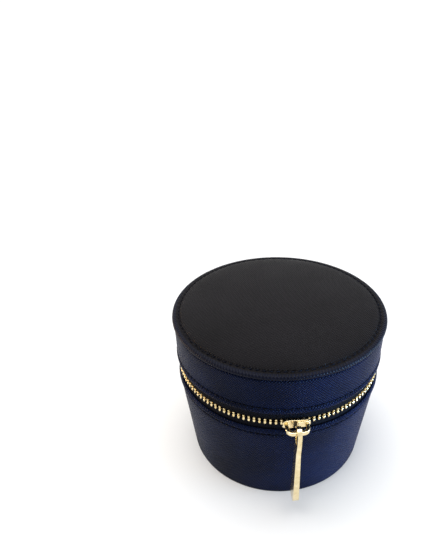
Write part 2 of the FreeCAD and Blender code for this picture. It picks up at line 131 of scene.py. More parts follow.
def turned(name, outline, sweep=360.0, middle=0.0, steps=TURN_STEPS, closed=True):
    """Spins an outline of (radius, height) about the case's axis."""
    start = math.radians(middle - sweep / 2)
    points = [(r * math.cos(start), r * math.sin(start), z) for r, z in outline]
    edges = [(i, (i + 1) % len(points)) for i in range(len(points) if closed else len(points) - 1)]
    piece = new_piece(name, points, edges, [])
    make_active(piece)
    bpy.ops.object.mode_set(mode="EDIT")
    bpy.ops.mesh.select_all(action="SELECT")
    bpy.ops.mesh.spin(steps=steps, angle=math.radians(sweep), center=(0, 0, 0), axis=(0, 0, -1))
    if sweep < 360.0:
        bpy.ops.mesh.select_all(action="DESELECT")
        bpy.ops.mesh.select_non_manifold()
        bpy.ops.mesh.edge_face_add()
    bpy.ops.object.mode_set(mode="OBJECT")
    merge_and_face_out(piece)
    return piece


def arc(centre, radius, first, last, count):
    """Points on an arc in the (radius, height) plane, angles in degrees."""
    found = []
    for i in range(count + 1):
        angle = math.radians(first + (last - first) * i / count)
        found.append((centre[0] + radius * math.cos(angle), centre[1] + radius * math.sin(angle)))
    return found


def swelling(start, end, height, count):
    """Points from start to end that swell to the right of that direction, ends included."""
    run = Vector((end[0] - start[0], end[1] - start[1]))
    side = Vector((run.y, -run.x)).normalized()
    found = []
    for i in range(count + 1):
        t = i / count
        rise = height * math.sin(math.pi * t)
        found.append((start[0] + run.x * t + side.x * rise, start[1] + run.y * t + side.y * rise))
    return found


def dent(piece, place, depth):
    """Moves each vertex by place(angle, radius, height), an outward and upward push in millimetres."""
    for vertex in piece.data.vertices:
        x, y, z = vertex.co / MM
        radius = math.hypot(x, y)
        if radius < 1.0:
            continue
        outward, up = place(math.atan2(y, x), radius, z)
        vertex.co = Vector((x * (1 + outward * depth / radius), y * (1 + outward * depth / radius),
                            z + up * depth)) * MM


def copies(name, model, places):
    """One mesh of many copies of a modelled shape, each put in place by its matrix."""
    joined = bmesh.new()
    for place in places:
        single = bmesh.new()
        single.from_mesh(model.data)
        single.transform(place)
        mesh = bpy.data.meshes.new("single")
        single.to_mesh(mesh)
        single.free()
        joined.from_mesh(mesh)
        bpy.data.meshes.remove(mesh)
    mesh = bpy.data.meshes.new(name)
    joined.to_mesh(mesh)
    joined.free()
    piece = bpy.data.objects.new(name, mesh)
    bpy.context.scene.collection.objects.link(piece)
    bpy.data.objects.remove(model)
    return piece


# Shader groups

def new_group(name, inputs, outputs):
    group = bpy.data.node_groups.new(name, "ShaderNodeTree")
    for label, kind, value in inputs:
        socket = group.interface.new_socket(name=label, in_out="INPUT", socket_type=kind)
        if value is not None:
            socket.default_value = value
    for label, kind in outputs:
        group.interface.new_socket(name=label, in_out="OUTPUT", socket_type=kind)
    return group, group.nodes.new("NodeGroupInput"), group.nodes.new("NodeGroupOutput")


def math_node(tree, operation, first, second=None, third=None, clamp=False):
    node = tree.nodes.new("ShaderNodeMath")
    node.operation = operation
    node.use_clamp = clamp
    for socket, value in zip(node.inputs, (first, second, third)):
        if value is None:
            continue
        if isinstance(value, (int, float)):
            socket.default_value = value
        else:
            tree.links.new(value, socket)
    return node.outputs[0]


def noise_node(tree, vector, scale, detail=2.0, roughness=0.5):
    node = tree.nodes.new("ShaderNodeTexNoise")
    node.inputs["Scale"].default_value = scale
    node.inputs["Detail"].default_value = detail
    node.inputs["Roughness"].default_value = roughness
    tree.links.new(vector, node.inputs["Vector"])
    return node.outputs["Fac"]


def ramp_node(tree, factor, stops):
    node = tree.nodes.new("ShaderNodeValToRGB")
    ramp = node.color_ramp
    while len(ramp.elements) < len(stops):
        ramp.elements.new(0.5)
    for element, (place, colour) in zip(ramp.elements, stops):
        element.position = place
        element.color = (*colour, 1.0)
    tree.links.new(factor, node.inputs["Fac"])
    return node.outputs["Color"]


def make_cross_grain():
    """Fine diagonal cross-hatch pressed into leather. Across and Up are phases along the surface."""
    tree, given, put = new_group(
        "cross_grain",
        [("Across", "NodeSocketFloat", 0.0), ("Up", "NodeSocketFloat", 0.0),
         ("Place", "NodeSocketVector", None), ("Second", "NodeSocketFloat", 0.6)],
        [("Height", "NodeSocketFloat"), ("Shade", "NodeSocketFloat")])
    wobble = noise_node(tree, given.outputs["Place"], 260.0, 3.0)
    wobble = math_node(tree, "MULTIPLY", math_node(tree, "SUBTRACT", wobble, 0.5), 3.2)
    rising = math_node(tree, "ADD", given.outputs["Across"], given.outputs["Up"])
    falling = math_node(tree, "SUBTRACT", given.outputs["Across"], given.outputs["Up"])
    first = math_node(tree, "SINE", math_node(tree, "ADD", rising, wobble))
    second = math_node(tree, "SINE", math_node(tree, "ADD", falling, wobble))
    first = math_node(tree, "MULTIPLY_ADD", first, 0.5, 0.5)
    second = math_node(tree, "MULTIPLY_ADD", second, 0.5, 0.5)
    ridge = math_node(tree, "MULTIPLY", second, given.outputs["Second"])
    hatch = math_node(tree, "ADD", math_node(tree, "POWER", first, 1.6), ridge)
    pores = noise_node(tree, given.outputs["Place"], 2200.0, 2.0)
    height = math_node(tree, "ADD", hatch, math_node(tree, "MULTIPLY", pores, 0.15))
    tree.links.new(height, put.inputs["Height"])
    shade = noise_node(tree, given.outputs["Place"], 38.0, 3.0)
    shade = math_node(tree, "ADD", math_node(tree, "MULTIPLY", hatch, 0.25), shade)
    tree.links.new(shade, put.inputs["Shade"])
    return tree


def make_pile():
    """Short velvet pile: fine bristle with broad patches where the nap was stroked."""
    tree, given, put = new_group(
        "velvet_pile", [("Place", "NodeSocketVector", None)],
        [("Height", "NodeSocketFloat"), ("Nap", "NodeSocketFloat")])
    bristle = noise_node(tree, given.outputs["Place"], 3200.0, 2.0, 0.7)
    patches = noise_node(tree, given.outputs["Place"], 75.0, 4.0, 0.62)
    tree.links.new(bristle, put.inputs["Height"])
    nap = math_node(tree, "ADD", math_node(tree, "MULTIPLY", bristle, 0.3), patches)
    tree.links.new(nap, put.inputs["Nap"])
    return tree


def make_wear():
    """Fine scratches and cloudy tarnish for plated metal."""
    tree, given, put = new_group(
        "metal_wear", [("Place", "NodeSocketVector", None)],
        [("Cloud", "NodeSocketFloat"), ("Height", "NodeSocketFloat")])
    tree.links.new(noise_node(tree, given.outputs["Place"], 420.0, 4.0, 0.6), put.inputs["Cloud"])
    stretch = tree.nodes.new("ShaderNodeMapping")
    stretch.inputs["Scale"].default_value = (9.0, 9.0, 1.0)
    tree.links.new(given.outputs["Place"], stretch.inputs["Vector"])
    tree.links.new(noise_node(tree, stretch.outputs["Vector"], 700.0, 2.0), put.inputs["Height"])
    return tree


CROSS_GRAIN = make_cross_grain()
PILE = make_pile()
WEAR = make_wear()


def new_material(name):
    material = bpy.data.materials.new(name)
    material.use_nodes = True
    tree = material.node_tree
    shader = tree.nodes["Principled BSDF"]
    place = tree.nodes.new("ShaderNodeTexCoord").outputs["Object"]
    return material, tree, shader, place


def place_group(tree, group, **inputs):
    node = tree.nodes.new("ShaderNodeGroup")
    node.node_tree = group
    for label, value in inputs.items():
        if isinstance(value, (int, float)):
            node.inputs[label].default_value = value
        else:
            tree.links.new(value, node.inputs[label])
    return node


def add_bump(tree, shader, height, distance):
    bump = tree.nodes.new("ShaderNodeBump")
    bump.inputs["Strength"].default_value = 1.0
    bump.inputs["Distance"].default_value = distance
    tree.links.new(height, bump.inputs["Height"])
    tree.links.new(bump.outputs["Normal"], shader.inputs["Normal"])


def phases_round_wall(tree, place, lines, pitch):
    """Phases that run round the wall, without a seam, and up it."""
    split = tree.nodes.new("ShaderNodeSeparateXYZ")
    tree.links.new(place, split.inputs["Vector"])
    turn = math_node(tree, "ARCTAN2", split.outputs["Y"], split.outputs["X"])
    return math_node(tree, "MULTIPLY", turn, lines), math_node(tree, "MULTIPLY", split.outputs["Z"], pitch)


def phases_flat(tree, place, pitch):
    """Phases along X and Y, for the lid top and the foot."""
    split = tree.nodes.new("ShaderNodeSeparateXYZ")
    tree.links.new(place, split.inputs["Vector"])
    return (math_node(tree, "MULTIPLY", split.outputs["X"], pitch),
            math_node(tree, "MULTIPLY", split.outputs["Y"], pitch))


HATCH_PITCH = 1.45
LEATHER_ROUGHNESS = 0.46
GRAIN_POLISH = -0.12
HATCH_PHASE = 2 * math.pi / (HATCH_PITCH * MM)
HATCH_LINES = round(2 * math.pi * WALL_RADIUS / HATCH_PITCH)
WALL_DEEP = (0.0022, 0.0032, 0.0086)
WALL_LIT = (0.0056, 0.0115, 0.0450)
# The lid's lip is the same navy leather as the walls. These colours paint it darker and greyer than the
# walls, a painted shade halfway to the lid top's.
LIP_PAINTED_SHADE_DARK = (0.0030, 0.0034, 0.0066)
LIP_PAINTED_SHADE_LIGHT = (0.0070, 0.0084, 0.0190)
# The lid top and the foot are the same navy leather as the walls. These colours paint it darker and greyer:
# painted shade, with a faint warm painted reflection on the top.
FLAT_PAINTED_SHADE_DARK = (0.0033, 0.0030, 0.0036)
FLAT_PAINTED_SHADE_LIGHT = (0.0076, 0.0069, 0.0088)


def leather_material(name, flat, deep, lit, second, bump, gloss):
    """Cross-grained leather. second is the weight of the second hatch and bump its depth in millimetres."""
    material, tree, shader, place = new_material(name)
    if flat:
        across, up = phases_flat(tree, place, HATCH_PHASE)
    else:
        across, up = phases_round_wall(tree, place, HATCH_LINES, HATCH_PHASE)
    grain = place_group(tree, CROSS_GRAIN, Across=across, Up=up, Place=place, Second=second)
    colour = ramp_node(tree, grain.outputs["Shade"], [(0.35, deep), (0.95, lit)])
    tree.links.new(colour, shader.inputs["Base Color"])
    rough = math_node(tree, "MULTIPLY_ADD", grain.outputs["Shade"], GRAIN_POLISH, LEATHER_ROUGHNESS)
    tree.links.new(rough, shader.inputs["Roughness"])
    shader.inputs["Specular IOR Level"].default_value = gloss
    add_bump(tree, shader, grain.outputs["Height"], bump * MM)
    return material


def velvet_material(name, dark, light):
    """Short pile with a blue sheen at the edges."""
    material, tree, shader, place = new_material(name)
    pile = place_group(tree, PILE, Place=place)
    colour = ramp_node(tree, pile.outputs["Nap"], [(0.42, dark), (0.85, light)])
    tree.links.new(colour, shader.inputs["Base Color"])
    shader.inputs["Roughness"].default_value = 0.95
    shader.inputs["Specular IOR Level"].default_value = 0.15
    shader.inputs["Sheen Weight"].default_value = 0.4
    shader.inputs["Sheen Roughness"].default_value = 0.38
    shader.inputs["Sheen Tint"].default_value = (0.26, 0.42, 0.78, 1.0)
    add_bump(tree, shader, pile.outputs["Height"], 0.16 * MM)
    return material


def brass_material(name, dull, bright, least_roughness):
    """Pale plated brass, a little dull where the tarnish is."""
    tarnish_roughness = 0.16
    material, tree, shader, place = new_material(name)
    wear = place_group(tree, WEAR, Place=place)
    colour = ramp_node(tree, wear.outputs["Cloud"], [(0.3, dull), (0.65, bright)])
    tree.links.new(colour, shader.inputs["Base Color"])
    shader.inputs["Metallic"].default_value = 1.0
    rough = math_node(tree, "MULTIPLY_ADD", wear.outputs["Cloud"], tarnish_roughness, least_roughness)
    tree.links.new(rough, shader.inputs["Roughness"])
    add_bump(tree, shader, wear.outputs["Height"], 0.0008 * MM)
    return material


def tape_material():
    """Herringbone zip tape: slanting ribs that turn over in narrow stripes."""
    rib_pitch = 0.7
    stripe_pitch = 0.9
    material, tree, shader, place = new_material("zip_tape_weave")
    rib_count = round(2 * math.pi * TAPE_MIDDLE / rib_pitch)
    turns, rise = phases_round_wall(tree, place, rib_count, 2 * math.pi / (stripe_pitch * MM))
    stripes = math_node(tree, "ABSOLUTE", math_node(tree, "SINE", math_node(tree, "MULTIPLY", rise, 0.25)))
    slant = math_node(tree, "MULTIPLY", math_node(tree, "ARCSINE", stripes), 2.2)
    ribs = math_node(tree, "SINE", math_node(tree, "ADD", turns, slant))
    fuzz = noise_node(tree, place, 2600.0, 2.0)
    height = math_node(tree, "ADD", ribs, fuzz)
    # These tape colours are darker than the tape's own dark navy, near black. This is partly painted shade,
    # standing for the shadow in the gap between the zip and the leather hems.
    colour = ramp_node(tree, height, [(0.0, (0.0012, 0.0015, 0.0032)), (1.0, (0.0035, 0.0045, 0.0100))])
    tree.links.new(colour, shader.inputs["Base Color"])
    shader.inputs["Roughness"].default_value = 0.82
    shader.inputs["Specular IOR Level"].default_value = 0.08
    add_bump(tree, shader, height, 0.08 * MM)
    return material


def thread_material():
    """Twisted sewing thread, a little glossier than the leather."""
    ply_pitch = 0.32
    ply_rise = 0.5
    material, tree, shader, place = new_material("navy_thread")
    ply_count = round(2 * math.pi * WALL_RADIUS / ply_pitch)
    twist, rise = phases_round_wall(tree, place, ply_count, 2 * math.pi / (ply_rise * MM))
    plies = math_node(tree, "SINE", math_node(tree, "ADD", twist, rise))
    fuzz = noise_node(tree, place, 2800.0, 2.0)
    height = math_node(tree, "ADD", plies, fuzz)
    colour = ramp_node(tree, height, [(0.0, (0.0012, 0.0016, 0.004)), (1.0, (0.0035, 0.005, 0.013))])
    tree.links.new(colour, shader.inputs["Base Color"])
    shader.inputs["Roughness"].default_value = 0.6
    shader.inputs["Specular IOR Level"].default_value = 0.08
    add_bump(tree, shader, height, 0.05 * MM)
    return material


def board_material(name, dark, light, scale):
    """Grey board or foam inside the walls: speckled fibres."""
    material, tree, shader, place = new_material(name)
    fleck = noise_node(tree, place, scale, 5.0, 0.7)
    colour = ramp_node(tree, fleck, [(0.3, dark), (0.7, light)])
    tree.links.new(colour, shader.inputs["Base Color"])
    shader.inputs["Roughness"].default_value = 0.9
    add_bump(tree, shader, fleck, 0.1 * MM)
    return material


WALL_LEATHER = leather_material("navy_leather_wall", False, WALL_DEEP, WALL_LIT, 0.8, 0.24, 0.03)
# The lip leather is a painted-shade copy of the wall leather.
SHADED_LIP_LEATHER = leather_material("navy_leather_lip_painted_shade", False, LIP_PAINTED_SHADE_DARK, LIP_PAINTED_SHADE_LIGHT, 0.8, 0.1, 0.05)
# The flat leather is a painted-shade copy of the wall leather, darker and greyer than the walls.
SHADED_FLAT_LEATHER = leather_material("navy_leather_flat_painted_shade", True, FLAT_PAINTED_SHADE_DARK, FLAT_PAINTED_SHADE_LIGHT, 1.0, 0.16, 0.05)
VELVET = velvet_material("navy_velvet", (0.006, 0.012, 0.036), (0.014, 0.030, 0.085))
LINING = velvet_material("lid_velvet", (0.004, 0.007, 0.016), (0.008, 0.013, 0.030))
BRASS = brass_material("gilt_brass", (0.72, 0.58, 0.31), (0.86, 0.74, 0.48), 0.12)
TEETH_BRASS = brass_material("zip_teeth_brass", (0.66, 0.50, 0.22), (0.88, 0.74, 0.44), 0.2)
TAPE = tape_material()
THREAD = thread_material()
BOARD = board_material("grey_board", (0.20, 0.17, 0.13), (0.42, 0.38, 0.31), 900.0)
FOAM = board_material("foam", (0.42, 0.42, 0.40), (0.62, 0.62, 0.58), 1500.0)


def finish_piece(piece, body, material, replaced=(), angle=35.0, flat_faces=False):
    piece.data.materials.clear()
    piece.data.materials.append(material)
    smooth(piece, angle)
    if flat_faces:
        apply_modifier(piece, "WEIGHTED_NORMAL", keep_sharp=True)
    if body:
        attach(piece, body)
    if replaced:
        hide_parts(*replaced)
    return piece


# Stitches

THREAD_RADIUS = 0.36
STITCH_SLANT = 4.0


def stitch_model(length):
    """One sunken stitch, a stretched bead whose ends dive into the leather."""
    deselect_all()
    bpy.ops.mesh.primitive_uv_sphere_add(segments=8, ring_count=6, radius=THREAD_RADIUS * MM)
    bead = bpy.context.object
    bpy.ops.object.mode_set(mode="EDIT")
    bpy.ops.mesh.select_all(action="SELECT")
    bpy.ops.transform.rotate(value=math.radians(90), orient_axis="Y", center_override=(0, 0, 0))
    bpy.ops.transform.resize(value=(length / 2 / THREAD_RADIUS, 1.0, 0.8))
    bpy.ops.object.mode_set(mode="OBJECT")
    return bead


def stitch_ring(name, radius, height, length, lean, body):
    """Stitches round the case. lean turns them from lying on a wall, 0, to lying on the top, 90."""
    slant = Matrix.Rotation(math.radians(STITCH_SLANT), 4, "Y")
    count = round(2 * math.pi * radius / STITCH_PITCH)
    places = []
    for i in range(count):
        angle = math.radians(360.0 * (i + 0.5) / count)
        places.append(
            Matrix.Rotation(angle + math.pi / 2, 4, "Z")
            @ Matrix.Translation(Vector((0, -radius, height)) * MM)
            @ Matrix.Rotation(math.radians(lean), 4, "X") @ slant)
    piece = copies(name, stitch_model(length), places)
    return finish_piece(piece, body, THREAD, angle=80.0)


def stitch_waves(angle, radius):
    """1 at the middle of a stitch and 0 at its holes."""
    count = round(2 * math.pi * radius / STITCH_PITCH)
    return 0.5 - 0.5 * math.cos(angle * count)


# Leather shell

def wall_outside(height):
    return FOOT_RADIUS + (WALL_RADIUS - FOOT_RADIUS) * height / BASE_EDGE


def wall_run(outside, low, high, steps):
    """Points up the outside of a wall."""
    heights = [low + (high - low) * i / steps for i in range(steps + 1)]
    return [(outside(height), height) for height in heights]


def leather_wall(name, low, high, outside, seam, hem_up):
    """A leather wall with a rolled hem past its stitched seam. hem_up says which end has the hem."""
    groove = 0.75
    depth = 0.35
    edge = 0.55
    roll = 0.42
    tuck_height = 1.2
    pucker_depth = 0.16
    steps = 12
    back_steps = 6

    def at(height, inset=0.0):
        return outside(height) - inset, height

    dip = swelling(at(seam - groove), at(seam + groove), -depth, 8)
    if hem_up:
        body_run = wall_run(outside, low, seam - groove, steps)
        hem = swelling(at(seam + groove), at(high - edge), roll, 10)
        fold = swelling(at(high - edge), at(high - edge, LEATHER), edge, 8)
        inside = wall_run(outside, low, high - edge, back_steps)[:-1]
        outline = body_run + dip[1:] + hem[1:] + fold[1:]
    else:
        fold = swelling(at(low + edge, LEATHER), at(low + edge), edge, 8)
        hem = swelling(at(low + edge), at(seam - groove), roll, 10)
        tuck = high - tuck_height
        body_run = wall_run(outside, seam + groove, tuck, steps)
        body_run += [(outside(high) - 0.08, tuck + 0.4), (outside(high) - 0.35, tuck + 0.8),
                     (outside(high) - 0.9, high)]
        inside = wall_run(outside, low + edge, high - 0.1, back_steps)[1:]
        outline = fold + hem[1:] + dip[1:] + body_run[1:]
    outline += [(radius - LEATHER, height) for radius, height in reversed(inside)]
    piece = turned(name, outline, steps=TURN_STEPS + 80)

    def pucker(angle, radius, height):
        near = max(0.0, 1.0 - abs(height - seam) / 1.8)
        return (stitch_waves(angle, WALL_RADIUS) - 0.5) * near, 0.0

    dent(piece, pucker, pucker_depth)
    return piece


BASE_SEAM = BASE_EDGE - 3.5
LID_SEAM = LID_EDGE + 3.5
base_wall = leather_wall("base_leather_wall", 0.9, BASE_EDGE, wall_outside, BASE_SEAM, True)
finish_piece(base_wall, "base", WALL_LEATHER, ["base_leather"])
lid_band = leather_wall("lid_leather_band", LID_EDGE, BAND_TOP, lambda height: WALL_RADIUS, LID_SEAM, False)
finish_piece(lid_band, "lid", WALL_LEATHER, ["lid_leather"])
stitch_ring("base_wall_stitches", wall_outside(BASE_SEAM) - 0.1, BASE_SEAM, 2.3, 0.0, "base")
stitch_ring("lid_band_stitches", WALL_RADIUS - 0.1, LID_SEAM, 2.3, 0.0, "lid")

foot_edge = arc((FOOT_RADIUS - 0.65, 0.6), 0.6, -90.0, 90.0, 10)
foot_sole = [(0.0, 0.25), (FOOT_RADIUS - 6.0, 0.25), (FOOT_RADIUS - 4.5, 0.0)]
foot = turned("base_foot_leather", foot_sole + foot_edge + [(0.0, 1.2)])
# The foot takes the flat leather's painted-shade colours.
finish_piece(foot, "base", SHADED_FLAT_LEATHER, ["base_bottom_leather"])


def lid_top_outline():
    dome_height = CROWN_TOP - LIP_HIGH
    steps = 26
    dome = []
    for i in range(steps + 1):
        share = i / steps
        radius = CROWN_RADIUS * math.cos(share * math.pi / 2)
        dome.append((radius, LIP_HIGH + dome_height * math.sin(share * math.pi / 2) ** 0.9))
    dome[-1] = (0.0, CROWN_TOP)
    lip = arc((LIP_OUTSIDE - 1.25, (LIP_LOW + LIP_HIGH) / 2), 1.25, -75.0, 80.0, 14)
    shelf = [(CROWN_RADIUS + 2.0, LIP_HIGH + 0.02), (CROWN_RADIUS + 1.1, LIP_HIGH - 0.02)]
    channel = [(CROWN_RADIUS + 0.75, LIP_HIGH - 0.12), (CROWN_RADIUS + 0.35, LIP_HIGH - 0.15)]
    under = [(0.0, LIP_HIGH - LEATHER + 1.0), (CROWN_RADIUS - 4.0, LIP_HIGH - LEATHER + 0.2),
             (LIP_OUTSIDE - 1.6, LIP_HIGH - LEATHER), (LIP_OUTSIDE - 1.4, LIP_LOW + 0.02)]
    return lip + shelf + channel + dome + under


lid_top = turned("lid_top_leather_crown", lid_top_outline(), steps=TURN_STEPS + 80)


def top_pucker(angle, radius, height):
    near = max(0.0, 1.0 - abs(radius - CROWN_RADIUS - 0.5) / 2.6)
    above = 1.0 if height > LIP_HIGH - 0.6 else 0.0
    return 0.0, (stitch_waves(angle, CROWN_RADIUS) - 0.5) * near * above


dent(lid_top, top_pucker, 0.17)
# The crown takes the flat leather's painted-shade colours.
finish_piece(lid_top, "lid", SHADED_FLAT_LEATHER, ["lid_top_leather"])
# The lip's outer faces take the lip's painted-shade copy of the leather.
lid_top.data.materials.append(SHADED_LIP_LEATHER)
for face in lid_top.data.polygons:
    if math.hypot(face.center.x, face.center.y) > (LIP_OUTSIDE - 1.6) * MM:
        face.material_index = 1
stitch_ring("lid_top_stitches", CROWN_RADIUS + 0.55, LIP_HIGH + 0.02, 2.1, 90.0, "lid")

# Zip

TOOTH_PITCH = 2.45
TOOTH_LENGTH = 1.3
TOOTH_DEPTH = 2.3
TOOTH_HEAD = 1.2
ROW_GAP = 0.36
TOOTH_COUNT = 108
TOOTH_STEP = math.degrees(TOOTH_PITCH / TAPE_MIDDLE)
ROW_REACH = (TOOTH_COUNT - 1) / 2 * TOOTH_STEP
STOP_WIDTH = 2.5
STOP_BESIDE = 2.375


def start_block(across, deep, low, high):
    """A block on the axis, left in edit mode for its cuts."""
    deselect_all()
    bpy.ops.mesh.primitive_cube_add(size=1.0)
    bpy.ops.object.mode_set(mode="EDIT")
    bpy.ops.mesh.select_all(action="SELECT")
    bpy.ops.transform.resize(value=(across * MM, deep * MM, (high - low) * MM))
    bpy.ops.transform.translate(value=(0, 0, (high + low) / 2 * MM))
    return bpy.context.object


def tooth_model():
    """One metal tooth, tip at the origin and legs towards +Z: a round head on a narrower waist."""
    tooth = start_block(TOOTH_HEAD, TOOTH_DEPTH, 0.0, TOOTH_LENGTH)
    for cut in (0.45, 0.7):
        bpy.ops.mesh.select_all(action="SELECT")
        bpy.ops.mesh.bisect(plane_co=(0, 0, cut * TOOTH_LENGTH * MM), plane_no=(0, 0, 1))
    bpy.ops.object.mode_set(mode="OBJECT")
    for vertex in tooth.data.vertices:
        share = vertex.co.z / MM / TOOTH_LENGTH
        if share < 0.1:
            vertex.co.x *= 0.8
            vertex.co.y *= 0.75
        elif share > 0.6:
            vertex.co.x *= 0.74
    apply_modifier(tooth, "BEVEL", width=0.17 * MM, segments=2, limit_method="ANGLE",
                   angle_limit=math.radians(25))
    return tooth


def tooth_place(turn, side):
    """Where a tooth sits, turn degrees from the front, on the lid's row (1) or the base's row (-1)."""
    tip = ZIP_HEIGHT + ROW_GAP / 2 * side
    flip = Matrix.Rotation(0.0 if side > 0 else math.pi, 4, "Y")
    return (Matrix.Rotation(math.radians(turn), 4, "Z")
            @ Matrix.Translation(Vector((0, -TAPE_MIDDLE, tip)) * MM) @ flip)


def tooth_row(name, side, body, node):
    places = [tooth_place(i * TOOTH_STEP - ROW_REACH, side) for i in range(TOOTH_COUNT)]
    piece = copies(name, tooth_model(), places)
    return finish_piece(piece, body, TEETH_BRASS, [node], angle=40.0)


def stop_model():
    """The clip that ends a row, wider than a tooth and pinched round the tape."""
    stop = start_block(STOP_WIDTH, TOOTH_DEPTH, 0.0, TOOTH_LENGTH)
    bpy.ops.mesh.subdivide(number_cuts=2)
    bpy.ops.object.mode_set(mode="OBJECT")
    for vertex in stop.data.vertices:
        if abs(vertex.co.x) < 0.6 * MM:
            vertex.co.y *= 0.82
    apply_modifier(stop, "BEVEL", width=0.25 * MM, segments=2, limit_method="ANGLE",
                   angle_limit=math.radians(40))
    return stop


def stop_pair(name, side, body, node):
    reach = ROW_REACH + math.degrees(STOP_BESIDE / TAPE_MIDDLE)
    places = [tooth_place(turn, side) for turn in (-reach, reach)]
    piece = copies(name, stop_model(), places)
    return finish_piece(piece, body, BRASS, [node], angle=40.0)


def tape_outline(side):
    """Tape from behind the leather to the corded edge that the teeth grip."""
    hidden = ZIP_HEIGHT + 11.0 * side
    cord = ZIP_HEIGHT + 0.75 * side
    half = 0.33
    bead = 0.46
    face = TAPE_OUTSIDE - 0.02
    rear_face = TAPE_OUTSIDE - 0.68
    bend = ZIP_HEIGHT + 5.0 * side
    lean = 0.0 if side > 0 else (wall_outside(45.9) - 1.3 - TAPE_OUTSIDE)
    front = [(face + lean, hidden), (face, bend), (TAPE_MIDDLE + half, cord + 1.2 * side)]
    tip = [(TAPE_MIDDLE + bead, cord + 0.5 * side), (TAPE_MIDDLE + half, cord + 0.1 * side),
           (TAPE_MIDDLE, cord), (TAPE_MIDDLE - half, cord + 0.1 * side),
           (TAPE_MIDDLE - bead, cord + 0.5 * side)]
    rear = [(TAPE_MIDDLE - half, cord + 1.2 * side), (rear_face, bend), (rear_face + lean, hidden)]
    return front + tip + rear


for side, half in ((-1, "base"), (1, "lid")):
    tape = turned(half + "_tape_weave", tape_outline(side), sweep=ZIP_ANGLE - 0.9, middle=FRONT, steps=300)
    finish_piece(tape, half, TAPE, [half + "_zip_tape"])
    tooth_row(half + "_teeth_row", side, half, half + "_zip_teeth")
    stop_pair(half + "_stop_pair", side, half, half + "_zip_stops")

# Leather hinge

HINGE_LOW = 45.9
HINGE_HIGH = 67.9
hinge_front = [(wall_outside(HINGE_LOW) - 1.3, HINGE_LOW), (TAPE_OUTSIDE - 0.15, BASE_EDGE - 0.5)]
hinge_front += swelling((TAPE_OUTSIDE - 0.1, BASE_EDGE), (TAPE_OUTSIDE - 0.1, LID_EDGE), 0.5, 16)
hinge_front += [(TAPE_OUTSIDE - 0.05, LID_EDGE + 0.5), (TAPE_OUTSIDE, HINGE_HIGH)]
hinge_back = [(radius - 1.15, height) for radius, height in reversed(hinge_front)]
hinge = turned("hinge_leather", hinge_front + hinge_back, sweep=HINGE_ANGLE, middle=BACK, steps=72)
finish_piece(hinge, None, WALL_LEATHER, ["hinge_strip"])
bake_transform(hinge)

# Velvet

def tray_outside(height):
    foot = wall_outside(TRAY_FOOT) - 3.4
    return foot + (COLLAR_RADIUS - foot) * (height - TRAY_FOOT) / (TRAY_RIM - TRAY_FOOT)


def sleeve_outline():
    """Velvet over the tray's card: up the outside, over a soft rim and down the inside."""
    shoulder = TRAY_RIM - 1.7
    steps = 16
    outer = [(tray_outside(TRAY_FOOT + (shoulder - TRAY_FOOT) * i / steps),
              TRAY_FOOT + (shoulder - TRAY_FOOT) * i / steps) for i in range(steps + 1)]
    half = TRAY_WALL / 2
    middle = tray_outside(shoulder) - half
    rim = [(middle + half * math.cos(math.radians(a)), shoulder + 1.7 * math.sin(math.radians(a)))
           for a in range(12, 180, 12)]
    inner = [(radius - TRAY_WALL, height) for radius, height in reversed(outer)]
    return outer + rim + inner


sleeve = turned("tray_velvet_sleeve", sleeve_outline(), steps=256)


def nap_waves(angle, radius, height):
    ripple = math.sin(5 * angle + height * 0.11) + 0.6 * math.sin(11 * angle - height * 0.07)
    return ripple * min(max((height - 20.0) / 40.0, 0.0), 1.0), 0.0


dent(sleeve, nap_waves, 0.07)
finish_piece(sleeve, "base", VELVET, ["tray_velvet"])


def make_divider():
    """The divider: card folded over with velvet, soft along its top."""
    thick = 3.4
    half_length = 43.0
    top = TRAY_RIM - 3.5
    low = PAD_TOP + 0.1
    piece = start_block(2 * half_length, thick, low, top)
    piece.name = "divider_velvet_fold"
    bpy.ops.object.mode_set(mode="OBJECT")
    bevel = bmesh.new()
    bevel.from_mesh(piece.data)
    upper = [e for e in bevel.edges if all(v.co.z > (top - 0.1) * MM for v in e.verts)
             and abs(e.verts[0].co.x - e.verts[1].co.x) > 10 * MM]
    bmesh.ops.bevel(bevel, geom=upper, offset=1.6 * MM, segments=8, profile=0.5, affect="EDGES")
    bevel.to_mesh(piece.data)
    bevel.free()
    make_active(piece)
    bpy.ops.object.mode_set(mode="EDIT")
    for normal, first, last, cuts in (((1, 0, 0), 1.0 - half_length, half_length - 1.0, 40),
                                      ((0, 0, 1), low, top - 2.0, 24)):
        for i in range(1, cuts):
            at = first + (last - first) * i / cuts
            bpy.ops.mesh.select_all(action="SELECT")
            bpy.ops.mesh.bisect(plane_co=Vector(normal) * at * MM, plane_no=normal)
    bpy.ops.object.mode_set(mode="OBJECT")
    turn = Matrix.Rotation(math.radians(BACK - 21.0), 4, "Z")
    for vertex in piece.data.vertices:
        x, y, z = vertex.co / MM
        reach = tray_outside(z) - TRAY_WALL - 0.15
        x *= reach / half_length
        sag = 0.35 * math.cos(x / reach * math.pi / 2) * max(0.0, (z - low) / (top - low)) ** 3
        soft = 0.08 * math.sin(x * 0.35) * math.sin(z * 0.21)
        vertex.co = Vector((x, y + soft, z - sag)) * MM
    piece.data.transform(turn)
    merge_and_face_out(piece)
    return piece


divider = make_divider()
finish_piece(divider, "base", VELVET, ["divider_velvet"])


def pad_outline(edge, low, high, crown, soft):
    """A flat pad with a rounded upper edge and a gentle crown."""
    corner = arc((edge - soft, high - crown - soft), soft, 0.0, 90.0, 8)
    steps = 12
    top = []
    for i in range(1, steps + 1):
        radius = (edge - soft) * (1 - i / steps)
        top.append((radius, high - crown * (radius / (edge - soft)) ** 2))
    return [(0.0, low), (edge * 0.5, low), (edge, low)] + corner + top


